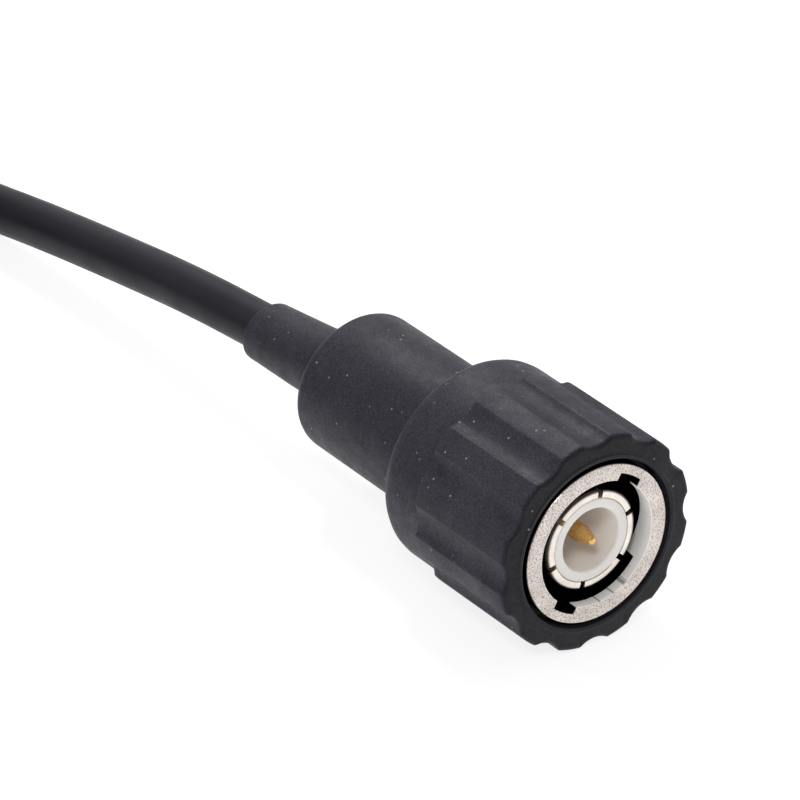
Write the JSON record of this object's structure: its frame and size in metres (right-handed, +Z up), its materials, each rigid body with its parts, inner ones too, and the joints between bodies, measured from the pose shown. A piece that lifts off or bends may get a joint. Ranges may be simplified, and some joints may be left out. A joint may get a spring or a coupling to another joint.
{
  "type": "oscilloscope probe",
  "caption": "Oscilloscope probe: shrouded bayonet plug with moulded boot, slim coaxial cable tied as a hank, and a probe head with sprung hook, attenuation switch and trimmer.",
  "frame": {"origin": "middle of the plug's mating face, in the plane of the bayonet ring's front", "axes": "+X out of the mating face along the plug's axis; +Z up from the surface that the plug, the cable and the head lie on; the head lies beside the cable at -Y"},
  "size_m": [0.1757, 0.0509, 0.017],
  "materials": {
    "nickel": "nickel-plated brass, satin",
    "ring_nickel": "nickel-plated die casting, fine grain, a little sparkly",
    "contact_nickel": "nickel-plated, smooth",
    "white_ptfe": "white fluoropolymer, waxy",
    "gold": "thin gold plate",
    "silicone": "red-brown silicone",
    "spring_steel": "bright drawn spring steel",
    "ferrule_tin": "tinned, crimped",
    "copper_braid": "tinned copper braid",
    "copper_wire": "copper",
    "knob_black": "moulded black, fine grain",
    "soft_black": "soft moulded PVC, fine grain",
    "cable_jacket": "smooth satin PVC jacket",
    "tie_black": "woven hook-and-loop strap",
    "head_black": "moulded black, fine grain",
    "nose_black": "moulded black, half gloss",
    "marker_blue": "coloured nylon",
    "board_green": "solder-masked laminate",
    "chip_tan": "fired ceramic",
    "trimmer_cream": "moulded nylon",
    "resistor_blue": "lacquered film",
    "slider_grey": "moulded nylon"
  },
  "bodies": {
    "probe": {"plug_body": "nickel", "outer_contact": "contact_nickel", "front_insulator": "white_ptfe", "rear_insulator": "white_ptfe", "centre_pin": "gold", "contact_gasket": "silicone", "spring_washer": "spring_steel", "retaining_ring": "spring_steel", "crimp_ferrule": "ferrule_tin", "cable_braid": "copper_braid", "cable_dielectric": "white_ptfe", "cable_core": "copper_wire", "plug_boot": "soft_black", "cable_to_hank": "cable_jacket", "cable_hank": "cable_jacket", "hank_tie": "tie_black", "cable_to_head": "cable_jacket", "strain_relief": "soft_black", "cable_end": "cable_jacket", "handle_shell_upper": "head_black", "handle_shell_lower": "head_black", "marker_ring": "marker_blue", "circuit_board": "board_green", "board_parts": "chip_tan", "trimmer_body": "trimmer_cream", "switch_contacts": "gold", "divider_resistor": "resistor_blue", "finger_guard": "head_black", "ground_barrel": "nickel", "nose_insulator": "nose_black", "probe_tip": "spring_steel"},
    "coupling_washer": {"thrust_washer": "nickel"},
    "coupling": {"bayonet_ring": "ring_nickel", "coupling_sleeve": "knob_black"},
    "attenuation_switch": {"switch_slider": "slider_grey", "switch_wiper": "spring_steel"},
    "trimmer": {"trimmer_screw": "nickel"},
    "hook_adapter": {"hook_carrier": "nose_black", "tip_socket": "gold", "hook_wire": "spring_steel", "hook_spring": "spring_steel"},
    "hook_sleeve": {"hook_sleeve": "head_black"}
  },
  "joints": [
    {"name": "coupling_draw", "type": "slide", "parent": "probe", "child": "coupling_washer", "axis": [1, 0, 0], "range_m": [0, 0.0008], "stiffness_N_per_m": 3000, "springref_m": -0.0005, "deforming": ["spring_washer"]},
    {"name": "coupling_turn", "type": "hinge", "parent": "coupling_washer", "child": "coupling", "pos_m": [-0.01, 0, 0], "axis": [1, 0, 0], "continuous": true},
    {"name": "switch_slide", "type": "slide", "parent": "probe", "child": "attenuation_switch", "axis": [1, 0, 0], "range_m": [0, 0.0035]},
    {"name": "trimmer_turn", "type": "hinge", "parent": "probe", "child": "trimmer", "pos_m": [-0.12, -0.0352, -0.00124], "axis": [0, 0, 1], "continuous": true},
    {"name": "adapter_turn", "type": "hinge", "parent": "probe", "child": "hook_adapter", "pos_m": [-0.06, -0.0352, -0.00124], "axis": [1, 0, 0], "continuous": true},
    {"name": "sleeve_draw", "type": "slide", "parent": "hook_adapter", "child": "hook_sleeve", "axis": [-1, 0, 0], "range_m": [0, 0.006], "stiffness_N_per_m": 250, "springref_m": -0.004, "deforming": ["hook_spring"]}
  ]
}
